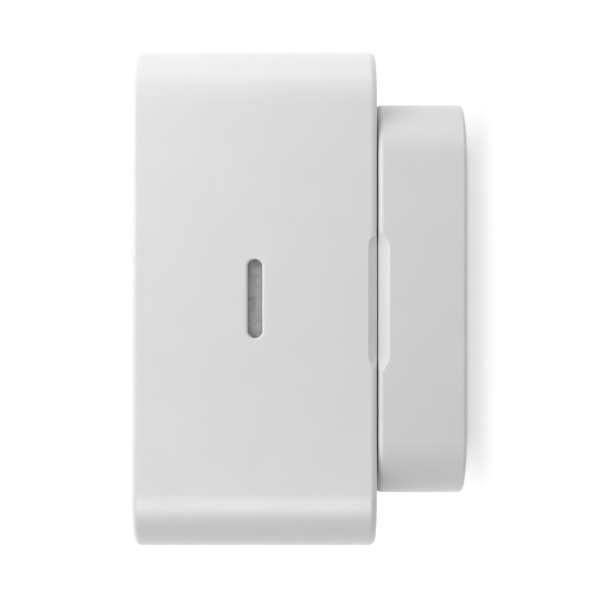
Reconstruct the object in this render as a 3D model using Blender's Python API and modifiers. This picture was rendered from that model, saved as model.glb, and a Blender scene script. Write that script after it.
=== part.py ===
"""Battery video doorbell: a deep white housing that pulls off a shallower base fixed to the wall.

Frame: X is the width, -Y is the front, +Z is up, and the wall is the plane y = 0.
Sizes and places below are in millimetres, and MM turns them into Blender's metres.
A piece is placed by its centre (x, y, z), or by the line it is turned about (x, z).
"""

import math

import bmesh
import bpy
from mathutils import Matrix, Vector

MM = 0.001
NAME = "video_doorbell"

# Driving dimensions
WIDTH = 60.0
BODY_HEIGHT = 80.3
BODY_DEPTH = 38.7
BASE_HEIGHT = 63.0
BASE_DEPTH = 13.9
GAP = 0.3  # between pieces that touch
BODY_CORNER = 9.5
BASE_CORNER = 9.2
FRONT_FILLET = 1.0
REAR_FILLET = 1.1
BASE_FRONT_FILLET = 0.9
BASE_REAR_FILLET = 0.6
WALL = 2.2
FRONT_WALL = 2.6

# Planes across the depth
BASE_FRONT_Y = -BASE_DEPTH
REAR_Y = BASE_FRONT_Y - GAP
FRONT_Y = REAR_Y - BODY_DEPTH
INNER_FRONT_Y = FRONT_Y + FRONT_WALL
FASCIA_RECESS = 1.6
SENSOR_BOARD_Y = -48.45
MAIN_BOARD_Y = -42.1
CAMERA_BOARD_Y = -37.65
SLOT_Y = -33.35
COVER_REAR_Y = REAR_Y - 0.2
COVER_PLATE = 1.6
COVER_FRONT_Y = -18.7
BOARD = 0.9  # thickness of a circuit board

# Places on the front, (x, z)
CAMERA = (0.0, 20.5)
MOTION = (0.0, 4.2)
BUTTON = (0.0, -16.5)
SPEAKER = (0.0, -2.0)
INFRARED_X = 15.2
SMALL_SENSOR_X, SMALL_SENSOR_Z = 14.0, 29.2

# Front openings
FASCIA = (48.0, 69.0)
FASCIA_CORNER = 6.0
BEZEL_R = 10.0
LIGHT_RING_R = 15.2
BUTTON_R = 13.0
MOTION_WINDOW = (14.0, 6.0)

# Side slots and the sound duct behind them
SLOT = (2.3, 12.4)
MESH = (3.4, 13.6)

# The fingernail groove across the seam on each side: a round bar let into the face
NOTCH_LENGTH, NOTCH_FULL = 23.0, 17.0
NOTCH_R, NOTCH_DEPTH = 2.2, 0.75
NOTCH_Y = BASE_FRONT_Y

# Rear cover, its screws and what passes through it
COVER_SCREW = (WIDTH / 2 - 6.8, BODY_HEIGHT / 2 - 6.8)
SCREW_HEAD_R, SCREW_R, PILOT_R = 2.1, 1.1, 1.4
PORT_Z = -33.8
RESET = (13.0, -33.6)
FLAP_HINGE_Y, FLAP_HINGE_Z = -14.9, -36.5

# The boss of the base, which enters a pocket in the rear cover
BOSS = (42.0, 40.0)
BOSS_CORNER = 6.0
BOSS_FRONT_Y = -17.1
POCKET_PLAY = 0.5
WALL_HOLE_Z, WALL_HOLE_R = 24.4, 2.1
PIN_X, PIN_Z = 3.0, -12.0
TERMINAL_X, TERMINAL_Z = 4.5, 12.5

# Colour, roughness and metallic value of each finish
FINISHES = {
    "white_plastic": ((0.78, 0.77, 0.76), 0.45, 0.0),
    "black_gloss": ((0.01, 0.01, 0.012), 0.12, 0.0),
    "black_plastic": ((0.03, 0.03, 0.03), 0.5, 0.0),
    "grey_plastic": ((0.25, 0.25, 0.26), 0.5, 0.0),
    "milky_plastic": ((0.72, 0.73, 0.74), 0.35, 0.0),
    "glass": ((0.02, 0.02, 0.03), 0.03, 0.0),
    "rubber": ((0.06, 0.06, 0.06), 0.8, 0.0),
    "silicone": ((0.55, 0.55, 0.55), 0.7, 0.0),
    "foam": ((0.08, 0.08, 0.08), 0.95, 0.0),
    "board": ((0.02, 0.16, 0.08), 0.4, 0.0),
    "flex": ((0.45, 0.2, 0.04), 0.4, 0.0),
    "steel": ((0.6, 0.6, 0.6), 0.3, 1.0),
    "gold": ((0.8, 0.6, 0.25), 0.25, 1.0),
    "brass": ((0.7, 0.52, 0.25), 0.3, 1.0),
    "mesh": ((0.22, 0.22, 0.21), 0.6, 0.4),
    "paper": ((0.05, 0.05, 0.05), 0.85, 0.0),
    "cell": ((0.3, 0.42, 0.55), 0.35, 0.6),
}


# ---------------------------------------------------------------- tools


def clear_scene():
    for obj in list(bpy.data.objects):
        bpy.data.objects.remove(obj, do_unlink=True)


def new_collection(name):
    collection = bpy.data.collections.new(name)
    bpy.context.scene.collection.children.link(collection)
    return collection


def new_material(name, finish):
    colour, roughness, metallic = FINISHES[finish]
    material = bpy.data.materials.new(name)
    material.use_nodes = True
    shader = material.node_tree.nodes["Principled BSDF"]
    shader.inputs["Base Color"].default_value = (*colour, 1.0)
    shader.inputs["Roughness"].default_value = roughness
    shader.inputs["Metallic"].default_value = metallic
    return material


def add_object(name, shape, place, finish=None):
    """Put a bmesh in the scene: a part with a material, or a cutter when it has no finish."""
    mesh = bpy.data.meshes.new(name)
    shape.to_mesh(mesh)
    shape.free()
    mesh.shade_smooth()
    mesh.set_sharp_from_angle(angle=math.radians(30))
    obj = bpy.data.objects.new(name, mesh)
    obj.location = Vector(place) * MM
    if finish:
        mesh.materials.append(new_material(name, finish))
        PARTS.objects.link(obj)
    else:
        obj.hide_render = True
        obj.display_type = "WIRE"
        CUTTERS.objects.link(obj)
    return obj


def set_origin(obj, place):
    """Move an object's origin without moving its surface."""
    shift = Vector(place) * MM - obj.location
    obj.data.transform(Matrix.Translation(-shift))
    obj.location = Vector(place) * MM


def combine(obj, others, operation):
    for other in others:
        boolean = obj.modifiers.new(other.name, "BOOLEAN")
        boolean.object = other
        boolean.operation = operation
        boolean.solver = "EXACT"


def cut(obj, *cutters):
    combine(obj, cutters, "DIFFERENCE")


def join(obj, *additions):
    combine(obj, additions, "UNION")


def bevel_edges(shape, edges, width, steps):
    bmesh.ops.bevel(
        shape,
        geom=edges,
        offset=width * MM,
        offset_type="OFFSET",
        segments=steps,
        profile=0.5,
        affect="EDGES",
        clamp_overlap=True,
    )


def block_shape(size, corner=0.0, axis="Y", steps=4, front=0.0, rear=0.0, rim_steps=2):
    """A box whose four edges along one axis are rounded, and then its two rims."""
    shape = bmesh.new()
    bmesh.ops.create_cube(shape, size=1.0)
    bmesh.ops.scale(shape, vec=Vector(size) * MM, verts=shape.verts)
    index = "XYZ".index(axis)
    if corner:
        ends = [(edge, edge.verts[0].co - edge.verts[1].co) for edge in shape.edges]
        along = [edge for edge, run in ends if abs(run[index]) > 0.9 * size[index] * MM]
        bevel_edges(shape, along, corner, steps)
    for side, width in ((-0.5, front), (0.5, rear)):
        plane = side * size[index] * MM
        rim = [e for e in shape.edges if all(abs(v.co[index] - plane) < 1e-7 for v in e.verts)]
        if width:
            bevel_edges(shape, rim, width, rim_steps)
    return shape


def block(name, size, place, finish=None, **rounding):
    return add_object(name, block_shape(size, **rounding), place, finish)


def slab(name, outline, front_y, rear_y, place, finish=None, **rounding):
    """A block given by its outline (width, height), its front and rear planes and its (x, z)."""
    size = (outline[0], rear_y - front_y, outline[1])
    middle = (place[0], (front_y + rear_y) / 2, place[1])
    return block(name, size, middle, finish, **rounding)


def disc(name, radius, front_y, rear_y, place, finish=None, steps=24):
    """A round bar along Y through (x, z)."""
    shape = bmesh.new()
    bmesh.ops.create_cone(
        shape,
        cap_ends=True,
        segments=steps,
        radius1=radius * MM,
        radius2=radius * MM,
        depth=(rear_y - front_y) * MM,
        matrix=Matrix.Rotation(math.pi / 2, 4, "X"),
    )
    return add_object(name, shape, (place[0], (front_y + rear_y) / 2, place[1]), finish)


def turned(name, profile, place, finish, steps=24, ring=False):
    """A profile of (radius, y) points turned about the line along Y through (x, z).

    The profile starts at the front and goes down the outer side; a ring's profile closes on itself.
    """
    shape = bmesh.new()
    points = [shape.verts.new((radius * MM, 0.0, -y * MM)) for radius, y in profile]
    pairs = list(zip(points, points[1:]))
    if ring:
        pairs.append((points[-1], points[0]))
    for pair in pairs:
        shape.edges.new(pair)
    obj = add_object(name, shape, (place[0], 0.0, place[1]), finish)
    obj.rotation_euler = (math.pi / 2, 0.0, 0.0)
    screw = obj.modifiers.new("turn", "SCREW")
    screw.axis = "Z"
    screw.angle = math.tau
    screw.steps = screw.render_steps = steps
    screw.use_merge_vertices = True
    screw.merge_threshold = 0.00001
    screw.use_smooth_shade = True
    return obj


def dome(radius, edge_y, apex_y, count):
    """Profile points of a shallow dome, from its apex on the axis to its edge."""
    rise = edge_y - apex_y
    turns = [i / count for i in range(count + 1)]
    return [(radius * t, apex_y + rise * t * t) for t in turns]


def ribbon(name, path, middle, width, thickness, finish, along="X"):
    """A strip that follows a path: (y, z) points and a width along X, or (x, z) points and Y."""
    shape = bmesh.new()
    half = width / 2
    if along == "X":
        points = [Vector((middle - half, a, b)) * MM for a, b in path]
        run = Vector((width, 0, 0)) * MM
    else:
        points = [Vector((a, middle - half, b)) * MM for a, b in path]
        run = Vector((0, width, 0)) * MM
    verts = [shape.verts.new(point) for point in points]
    edges = [shape.edges.new(pair) for pair in zip(verts, verts[1:])]
    swept = bmesh.ops.extrude_edge_only(shape, edges=edges)["geom"]
    moved = [item for item in swept if isinstance(item, bmesh.types.BMVert)]
    bmesh.ops.translate(shape, vec=run, verts=moved)
    bmesh.ops.recalc_face_normals(shape, faces=shape.faces)
    obj = add_object(name, shape, (0, 0, 0), finish)
    solidify = obj.modifiers.new("thickness", "SOLIDIFY")
    solidify.thickness = thickness * MM
    solidify.offset = 0.0
    return obj


def notch_cutter(name, side):
    """A round bar along the seam edge, which rises out of the side face at both ends."""
    shape = bmesh.new()
    bmesh.ops.create_cone(
        shape,
        cap_ends=True,
        segments=24,
        radius1=NOTCH_R * MM,
        radius2=NOTCH_R * MM,
        depth=NOTCH_LENGTH * MM,
    )
    for end in (-1, 1):
        everything = shape.verts[:] + shape.edges[:] + shape.faces[:]
        plane = Vector((0, 0, end * NOTCH_FULL / 2 * MM))
        bmesh.ops.bisect_plane(shape, geom=everything, plane_co=plane, plane_no=(0, 0, 1))
    tips = [v for v in shape.verts if abs(v.co.z) > 0.49 * NOTCH_LENGTH * MM]
    bmesh.ops.translate(shape, vec=Vector((side * NOTCH_DEPTH * MM, 0, 0)), verts=tips)
    x = side * (WIDTH / 2 + NOTCH_R - NOTCH_DEPTH)
    return add_object(name, shape, (x, NOTCH_Y, 0), None)


SIDES = (("left", -1), ("right", 1))
CORNERS = [(x, z) for z in (1, -1) for x in (-1, 1)]


# ---------------------------------------------------------------- housing


def make_front_shell():
    middle_y = (FRONT_Y + REAR_Y) / 2
    shell = block(
        "front_shell",
        (WIDTH, BODY_DEPTH, BODY_HEIGHT),
        (0, middle_y, 0),
        "white_plastic",
        corner=BODY_CORNER,
        steps=7,
        front=FRONT_FILLET,
        rear=REAR_FILLET,
        rim_steps=3,
    )
    inner = (WIDTH - 2 * WALL, BODY_HEIGHT - 2 * WALL)
    hollow = slab(
        "shell_hollow", inner, INNER_FRONT_Y, REAR_Y + 5, (0, 0), corner=BODY_CORNER - WALL, steps=5
    )
    recess = slab(
        "fascia_recess",
        (FASCIA[0] + 2 * GAP, FASCIA[1] + 2 * GAP),
        FRONT_Y - 2,
        FRONT_Y + FASCIA_RECESS,
        (0, 0),
        corner=FASCIA_CORNER + GAP,
    )
    cut(shell, hollow, recess)
    for x, z in CORNERS:
        centre = (x * COVER_SCREW[0], z * COVER_SCREW[1])
        join(shell, disc("screw_column", 3.6, INNER_FRONT_Y - 1, COVER_FRONT_Y - GAP, centre, steps=16))
        cut(shell, disc("pilot_hole", PILOT_R, -27, -15, centre, steps=12))
    cut(shell, *front_openings("shell", with_infrared=True))
    cut(shell, block("sound_slot", (WIDTH + 10, *SLOT), (0, SLOT_Y, 0), corner=1.14, axis="X"))
    pocket = (WIDTH - 2 * 1.3, MESH[0] + 2 * GAP, MESH[1] + 2 * GAP)
    cut(shell, block("mesh_pocket", pocket, (0, SLOT_Y, 0), corner=1.99, axis="X"))
    for side, sign in SIDES:
        cut(shell, notch_cutter("body_notch_" + side, sign))


def front_openings(owner, with_infrared):
    """Cutters for what shows through the front of the shell or of the fascia."""
    front, rear = FRONT_Y - 3, INNER_FRONT_Y + 3
    window = (MOTION_WINDOW[0] + 2 * GAP, MOTION_WINDOW[1] + 2 * GAP)
    cutters = [
        disc(owner + "_camera_hole", BEZEL_R + GAP, front, rear, CAMERA, steps=36),
        disc(owner + "_button_hole", LIGHT_RING_R + GAP, front, rear, BUTTON, steps=40),
        slab(owner + "_motion_hole", window, front, rear, MOTION, corner=3.29, steps=5),
        disc(owner + "_mic_hole", 0.8, front, rear, (-SMALL_SENSOR_X, SMALL_SENSOR_Z), steps=10),
    ]
    if with_infrared:
        for side, sign in SIDES:
            place = (sign * INFRARED_X, CAMERA[1])
            cutters.append(disc(f"{owner}_infrared_{side}", 2.0, front, rear, place, steps=16))
        place = (SMALL_SENSOR_X, SMALL_SENSOR_Z)
        cutters.append(disc(owner + "_light_hole", 1.4, front, rear, place, steps=12))
    return cutters


def make_front_panel():
    fascia = slab(
        "front_fascia",
        FASCIA,
        FRONT_Y + 0.15,
        FRONT_Y + FASCIA_RECESS - GAP,
        (0, 0),
        "black_gloss",
        corner=FASCIA_CORNER,
        steps=6,
        front=0.3,
    )
    cut(fascia, *front_openings("fascia", with_infrared=False))
    front = FRONT_Y + 0.3
    window = slab(
        "pir_lens", MOTION_WINDOW, front, -49.6, MOTION, "milky_plastic", corner=2.99, steps=5
    )
    flange = slab("pir_flange", (16.0, 8.0), -50.0, -49.2, MOTION, corner=3.9, steps=5)
    scoop = slab("pir_scoop", (12.4, 4.6), front + 1.0, -48.0, MOTION, corner=2.2, steps=4)
    join(window, flange)
    cut(window, scoop)


def make_camera():
    x, z = CAMERA
    bezel = [(9.7, -52.7), (BEZEL_R, -52.4), (BEZEL_R, -50.0), (11.2, -50.0), (11.2, -49.2)]
    bezel += [(6.9, -49.2), (6.9, -51.2), (7.8, -51.2), (7.8, -52.3), (8.5, -52.7)]
    turned("lens_bezel", bezel, CAMERA, "black_plastic", steps=32, ring=True)
    turned(
        "camera_window", [(0, -52.5), (7.3, -52.5), (7.5, -52.3), (7.5, -51.5), (0, -51.5)], CAMERA, "glass"
    )
    barrel = [(5.8, -50.7), (6.4, -50.1), (6.4, -47.0), (4.5, -46.6), (4.5, -43.4), (3.2, -43.4)]
    barrel += [(3.2, -48.9), (4.8, -48.9), (4.8, -49.9), (5.4, -50.7)]
    turned("lens_barrel", barrel, CAMERA, "black_plastic", ring=True)
    turned("lens_element", dome(4.5, -49.8, -50.9, 5) + [(4.5, -49.2), (0, -49.2)], CAMERA, "glass")

    holder = block("lens_holder", (17.0, 7.2, 13.0), (x + 2.0, -42.0, z), "black_plastic")
    cut(
        holder,
        disc("barrel_bore", 4.8, -47, -43.2, CAMERA),
        disc("light_bore", 2.4, -44, -39, CAMERA, steps=16),
        block("filter_slot", (12.6, 1.2, 7.4), (x + 3.0, -41.8, z)),
        block("sensor_pocket", (9.4, 3.0, 8.4), (x, -38.8, z)),
    )
    block("ir_cut_filter", (5.8, 0.5, 6.6), (x, -41.8, z), "glass")
    block("image_sensor", (8.0, 1.1, 7.0), (x, -39.0, z), "black_plastic")
    front, rear = CAMERA_BOARD_Y - BOARD / 2, CAMERA_BOARD_Y + BOARD / 2
    slab("camera_board", (22.0, 16.0), front, rear, (x + 1.0, z), "board", corner=1.0, steps=2)

    path = [(-38.45, 13.5), (-38.45, 10.9), (-38.75, 10.3), (-39.35, 10.0)]
    path += [(-42.1, 10.0), (-42.75, 9.7), (-43.0, 9.1), (-43.0, 6.3)]
    ribbon("camera_flex", path, 7.2, 4.4, 0.2, "flex")


def make_front_sensors():
    front, rear = SENSOR_BOARD_Y - BOARD / 2, SENSOR_BOARD_Y + BOARD / 2
    board = slab("sensor_board", (37.2, 25.8), front, rear, CAMERA, "board", corner=1.5, steps=2)
    cut(board, disc("board_lens_hole", 7.4, -52, -45, CAMERA))
    for side, sign in SIDES:
        place = (sign * INFRARED_X, CAMERA[1])
        slab("ir_led_" + side, (3.4, 3.4), -50.0, -49.2, place, "milky_plastic", corner=0.4, steps=1)
    slab("light_sensor", (2.4, 2.0), -49.9, -49.2, (SMALL_SENSOR_X, SMALL_SENSOR_Z), "glass")
    slab("microphone", (3.8, 2.8), -50.0, -49.2, (-SMALL_SENSOR_X, SMALL_SENSOR_Z), "steel")
    can = [(0, -47.4), (3.4, -47.4), (3.7, -47.1), (3.7, -43.6), (4.1, -43.6), (4.1, -42.9), (0, -42.9)]
    turned("pir_sensor", can, MOTION, "steel", steps=20)


def make_bell_button():
    ring = [(14.9, -52.6), (LIGHT_RING_R, -52.3), (LIGHT_RING_R, -50.0), (16.3, -50.0), (16.3, -49.2)]
    ring += [(13.4, -49.2), (13.4, -52.4), (13.6, -52.6)]
    turned("light_ring", ring, BUTTON, "milky_plastic", steps=36, ring=True)
    cap = [(0, -52.2), (8, -52.3), (12.2, -52.6), (12.7, -52.55), (BUTTON_R, -52.2), (BUTTON_R, -50.6)]
    cap += [(11.8, -50.6), (11.8, -51.2), (0, -51.2)]
    turned("button_cap", cap, BUTTON, "black_gloss", steps=32)
    stem = [(0, -50.9), (5.0, -50.9), (5.0, -50.4), (2.2, -50.4), (2.2, -47.2), (0, -47.2)]
    turned("button_stem", stem, BUTTON, "black_plastic", steps=16)
    seal = [(12.0, -49.6), (12.6, -49.3), (12.6, -48.2), (11.6, -48.2), (11.4, -48.4), (3.4, -48.4)]
    seal += [(2.5, -48.2), (2.5, -49.6), (3.2, -49.6), (3.5, -48.9), (11.4, -48.9)]
    turned("button_seal", seal, BUTTON, "silicone", ring=True)
    board = disc("ring_board", 16.4, -48.0, -47.2, BUTTON, "board", steps=32)
    cut(board, disc("ring_board_hole", 12.9, -50, -45, BUTTON, steps=28))
    slab("button_switch", (6.2, 6.2), -46.4, -42.9, BUTTON, "black_plastic", corner=0.6, steps=1)


def make_main_board():
    front = MAIN_BOARD_Y - BOARD / 2
    slab("main_board", (49.0, 37.5), front, front + BOARD, (0, -10.25), "board", corner=2.0, steps=2)
    shield = slab("rf_shield", (15.0, 12.0), front - 2.3, front - GAP, (-15.5, -22.0), "steel", front=0.3)
    cut(shield, slab("shield_hollow", (14.2, 11.2), front - 1.9, front + 1, (-15.5, -22.0)))
    slab("processor", (10.0, 10.0), front - 1.4, front - GAP, (15.0, -21.0), "black_plastic", front=0.2)
    block("wifi_antenna", (24.0, 8.0, 0.3), (0, -42.0, 37.2), "flex")


def make_speaker():
    frame = [(0, -40.2), (8.5, -40.2), (11.0, -38.4), (12.0, -37.6), (12.0, -36.2), (10.6, -36.2)]
    frame += [(10.6, -37.7), (7.6, -39.5), (0, -39.5)]
    turned("speaker_frame", frame, SPEAKER, "steel", steps=28)
    disc("speaker_magnet", 6.0, -41.3, -40.5, SPEAKER, "steel")
    cone = [(0, -38.1), (2.4, -38.25), (3.6, -38.95), (9.6, -37.15), (10.3, -37.15)]
    cone += [(10.3, -36.8), (9.5, -36.8), (3.7, -38.5), (2.3, -37.8), (0, -37.65)]
    turned("speaker_cone", cone, SPEAKER, "paper")

    front, rear = SLOT_Y - 2.25, SLOT_Y + 2.25
    air_front, air_rear = SLOT_Y - 1.15, SLOT_Y + 1.15
    duct = disc("sound_duct", 13.2, front, rear, SPEAKER, "black_plastic", steps=32)
    join(duct, slab("duct_arms", (54.8, 14.8), front, rear, (0, 0)))
    cut(
        duct,
        disc("duct_chamber", 12.1, air_front, air_rear, SPEAKER, steps=28),
        slab("duct_passage", (60.0, 12.6), air_front, air_rear, (0, 0)),
        disc("duct_mouth", 10.4, front - 2, air_rear - 1, SPEAKER, steps=28),
    )
    for side, sign in SIDES:
        place = (sign * 28.2, SLOT_Y, 0)
        block("sound_mesh_" + side, (0.4, *MESH), place, "mesh", corner=1.69, axis="X")


def make_battery():
    middle = (0, -2.5)
    tray = slab("battery_tray", (37.4, 54.2), -30.9, -23.4, middle, "black_plastic", corner=1.5, steps=2)
    cut(tray, slab("tray_hollow", (35.0, 51.6), -30.1, -20, middle))
    block("battery_cell", (34.0, 10.0, 50.0), (0, -24.8, -2.5), "cell", corner=4.4, axis="Z", steps=4)


def make_charging():
    x, z = RESET
    block("power_board", (34.0, 13.2, 0.8), (0, -26.8, -31.6), "board")
    port = block("usb_port", (9.0, 7.4, 3.0), (0, -19.9, PORT_Z), "steel", corner=1.3, steps=3)
    cut(port, block("port_mouth", (8.3, 7.0, 2.3), (0, -18.4, PORT_Z), corner=1.0, steps=3))
    join(port, block("port_tongue", (6.6, 5.8, 0.7), (0, -19.8, PORT_Z)))
    block("reset_switch", (4.2, 3.4, 3.0), (x, -22.2, z), "black_plastic")
    button = [(0, -19.7), (2.1, -19.7), (2.1, -19.0), (1.3, -19.0), (1.3, -14.8), (1.1, -14.6), (0, -14.6)]
    turned("reset_button", button, RESET, "grey_plastic", steps=16)

    flap_top = -31.75
    bottom = FLAP_HINGE_Z - 0.4
    size = (12.4, 0.8, flap_top - bottom)
    shape = block_shape(size)
    lower = [e for e in shape.edges if all(v.co.z < 0 for v in e.verts)]
    lower = [e for e in lower if abs(e.verts[0].co.x - e.verts[1].co.x) > 0.001]
    bevel_edges(shape, lower, 0.39, 3)
    flap = add_object("usb_flap", shape, (0, FLAP_HINGE_Y, (flap_top + bottom) / 2), "rubber")
    set_origin(flap, (0, FLAP_HINGE_Y, FLAP_HINGE_Z))
    join(flap, block("flap_plug", (7.6, 1.2, 1.8), (0, -15.6, -33.8)))


def make_back_cover():
    outline = (WIDTH - 2 * WALL - 2 * GAP, BODY_HEIGHT - 2 * WALL - 2 * GAP)
    corner = BODY_CORNER - WALL - GAP
    plug_outline = (outline[0] - 1.8, outline[1] - 1.8)
    step_y = COVER_REAR_Y - COVER_PLATE
    cover = slab(
        "back_cover", outline, step_y, COVER_REAR_Y, (0, 0), "white_plastic", corner=corner, steps=5
    )
    join(cover, slab("cover_plug", plug_outline, COVER_FRONT_Y, step_y + 0.2, (0, 0), corner=corner - 0.9))
    pocket = (BOSS[0] + 2 * POCKET_PLAY, BOSS[1] + 2 * POCKET_PLAY)
    floor_y = BOSS_FRONT_Y - 0.4
    cut(
        cover,
        slab("boss_pocket", pocket, floor_y, REAR_Y + 2, (0, 0), corner=BOSS_CORNER + POCKET_PLAY),
        slab("spring_groove", (pocket[0] + 2.2, 13.0), BOSS_FRONT_Y, BOSS_FRONT_Y + 1.6, (0, 0)),
        slab("port_opening", (9.6, 3.6), -20, -10, (0, PORT_Z), corner=1.4, steps=3),
        slab("flap_recess", (13.2, 5.6), -15.5, -10, (0, -34.3)),
        disc("reset_opening", 1.6, -20, -10, RESET, steps=16),
    )
    for x, z in CORNERS:
        centre = (x * COVER_SCREW[0], z * COVER_SCREW[1])
        cut(
            cover,
            disc("screw_hole", PILOT_R, -20, -10, centre, steps=12),
            disc("screw_counterbore", SCREW_HEAD_R + 0.4, -15.9, -10, centre, steps=16),
        )
    for side, sign in SIDES:
        place = (sign * PIN_X, PIN_Z)
        cut(cover, slab("pad_hole_" + side, (3.6, 3.6), -20, -16, place))
        slab("contact_pad_" + side, (3.0, 3.0), -18.5, -17.6, place, "gold")

    height = 1.5
    seal = slab(
        "cover_seal", outline, step_y - height - 0.1, step_y - GAP, (0, 0), "silicone", corner=corner
    )
    inner = (plug_outline[0] + 2 * GAP, plug_outline[1] + 2 * GAP)
    cut(seal, slab("seal_opening", inner, step_y - 5, step_y + 5, (0, 0), corner=corner - 0.6))

    screw = [(0, -14.7), (1.7, -14.7), (SCREW_HEAD_R, -15.0), (SCREW_HEAD_R, -15.6)]
    screw += [(SCREW_R, -15.6), (SCREW_R, -25.6), (0.4, -26.4), (0, -26.4)]
    screw = [(radius, y) for radius, y in reversed(screw)]
    for number, (x, z) in enumerate(CORNERS, start=1):
        centre = (x * COVER_SCREW[0], z * COVER_SCREW[1])
        turned(f"cover_screw_{number}", screw, centre, "steel", steps=12)


# ---------------------------------------------------------------- wall base


def make_wall_base():
    base = block(
        "wall_base",
        (WIDTH, BASE_DEPTH, BASE_HEIGHT),
        (0, BASE_FRONT_Y / 2, 0),
        "white_plastic",
        corner=BASE_CORNER,
        steps=7,
        front=BASE_FRONT_FILLET,
        rear=BASE_REAR_FILLET,
    )
    floor_y = BASE_FRONT_Y + 2.5
    wall = 2.3
    hollow = (WIDTH - 2 * wall, BASE_HEIGHT - 2 * wall)
    rebate = (WIDTH - 2.8, BASE_HEIGHT - 2.8)
    cut(
        base,
        slab("base_hollow", hollow, floor_y, 5, (0, 0), corner=BASE_CORNER - wall, steps=5),
        slab("gasket_rebate", rebate, -1.5, 5, (0, 0), corner=BASE_CORNER - 1.4, steps=5),
    )
    join(
        base,
        slab("boss", BOSS, BOSS_FRONT_Y, BASE_FRONT_Y + 0.5, (0, 0), corner=BOSS_CORNER, front=0.4),
        disc("centre_pillar", 6.0, floor_y - 0.5, 0.0, (0, 0)),
    )
    for sign in (1, -1):
        place = (0, sign * WALL_HOLE_Z)
        join(base, disc("wall_screw_column", 3.9, floor_y - 0.5, 0.0, place, steps=20))
        cut(
            base,
            disc("wall_screw_hole", WALL_HOLE_R, -20, 5, place, steps=16),
            disc("wall_screw_seat", 3.7, -20, BASE_FRONT_Y + 2.0, place, steps=20),
        )
    for side, sign in SIDES:
        place = (sign * 20.2, 0)
        cut(base, slab("spring_pocket_" + side, (4.0, 23.2), -20, BOSS_FRONT_Y + 1.7, place))
        cut(base, notch_cutter("base_notch_" + side, sign))
    cut(base, slab("pin_opening", (12.6, 5.6), -20, -8, (0, PIN_Z)))

    gasket = slab("wall_gasket", (rebate[0] - 0.6, rebate[1] - 0.6), -1.2, -0.1, (0, 0), "foam", corner=7.5)
    cut(gasket, slab("gasket_opening", (hollow[0] - 0.6, hollow[1] - 0.6), -5, 5, (0, 0), corner=6.6))


def make_terminals():
    block_middle = (0, -7.85, TERMINAL_Z)
    terminal = block("terminal_block", (18.0, 6.5, 9.0), block_middle, "black_plastic")
    profile = [(0, -9.0), (1.2, -9.0), (1.2, -4.3), (2.4, -4.3), (2.4, -3.2), (2.1, -2.9), (0, -2.9)]
    for side, sign in SIDES:
        place = (sign * TERMINAL_X, TERMINAL_Z)
        cut(terminal, disc("terminal_hole_" + side, 1.5, -9.6, 0, place, steps=12))
        turned("terminal_screw_" + side, profile, place, "brass", steps=16)


def make_contacts():
    carrier = slab("pogo_block", (12.0, 5.0), -16.8, -10.5, (0, PIN_Z), "black_plastic")
    join(carrier, slab("pogo_flange", (15.0, 8.0), -11.1, -9.9, (0, PIN_Z)))
    pin = [(0, -17.3), (0.45, -17.2), (0.65, -16.9), (0.65, -12.4), (0, -12.4)]
    for side, sign in SIDES:
        place = (sign * PIN_X, PIN_Z)
        cut(carrier, disc("pin_bore_" + side, 0.95, -20, -11.9, place, steps=12))
        turned("pogo_pin_" + side, pin, place, "gold", steps=12)


def make_retaining_springs():
    """Flat springs bowed outwards, each in a pocket in the side of the boss."""
    half, count = 10.8, 12
    foot, bow = 19.0, 2.95
    heights = [half * (2 * i / count - 1) for i in range(count + 1)]
    for side, sign in SIDES:
        path = [(sign * (foot + bow * (1 - (z / half) ** 2)), z) for z in heights]
        ribbon("retaining_spring_" + side, path, BOSS_FRONT_Y + 0.8, 1.2, 0.4, "steel", along="Y")


clear_scene()
PARTS = new_collection(NAME)
CUTTERS = new_collection("cutters")
make_front_shell()
make_front_panel()
make_camera()
make_front_sensors()
make_bell_button()
make_main_board()
make_speaker()
make_battery()
make_charging()
make_back_cover()
make_wall_base()
make_terminals()
make_contacts()
make_retaining_springs()
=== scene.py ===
"""The looks of the video doorbell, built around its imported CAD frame.

Sizes and places are in millimetres in the frame's own axes: X is the width, -Y is the front and +Z is up.
"""

import math

import bmesh
import bpy
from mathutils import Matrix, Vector


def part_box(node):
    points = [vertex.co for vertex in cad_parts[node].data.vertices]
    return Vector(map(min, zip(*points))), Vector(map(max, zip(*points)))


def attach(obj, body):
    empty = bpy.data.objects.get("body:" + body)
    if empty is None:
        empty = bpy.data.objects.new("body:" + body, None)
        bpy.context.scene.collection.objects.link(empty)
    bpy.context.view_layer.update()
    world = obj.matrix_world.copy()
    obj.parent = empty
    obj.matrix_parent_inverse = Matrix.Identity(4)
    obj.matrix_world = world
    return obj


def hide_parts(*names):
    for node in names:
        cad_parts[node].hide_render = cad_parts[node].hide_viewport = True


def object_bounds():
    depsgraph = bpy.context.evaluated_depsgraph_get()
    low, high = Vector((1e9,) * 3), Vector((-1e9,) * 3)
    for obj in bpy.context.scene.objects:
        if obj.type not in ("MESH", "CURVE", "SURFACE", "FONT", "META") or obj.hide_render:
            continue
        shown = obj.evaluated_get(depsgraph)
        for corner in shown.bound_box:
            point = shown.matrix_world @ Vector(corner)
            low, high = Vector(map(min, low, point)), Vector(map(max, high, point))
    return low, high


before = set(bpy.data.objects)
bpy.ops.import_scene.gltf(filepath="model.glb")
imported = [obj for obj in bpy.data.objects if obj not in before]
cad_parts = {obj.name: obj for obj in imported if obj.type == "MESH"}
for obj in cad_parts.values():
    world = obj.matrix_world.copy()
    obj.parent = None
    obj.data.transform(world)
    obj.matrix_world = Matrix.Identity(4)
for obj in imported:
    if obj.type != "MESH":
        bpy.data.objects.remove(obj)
cad_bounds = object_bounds()

MM = 0.001
SEAM = 0.3  # between housing and base, and between housing and cover
TIP = 0.001  # the radius of a turned profile's closed end
CORNER_STEPS = 20
SIDES = (("left", -1), ("right", 1))
CORNERS = [(x, z) for z in (1, -1) for x in (-1, 1)]


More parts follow.
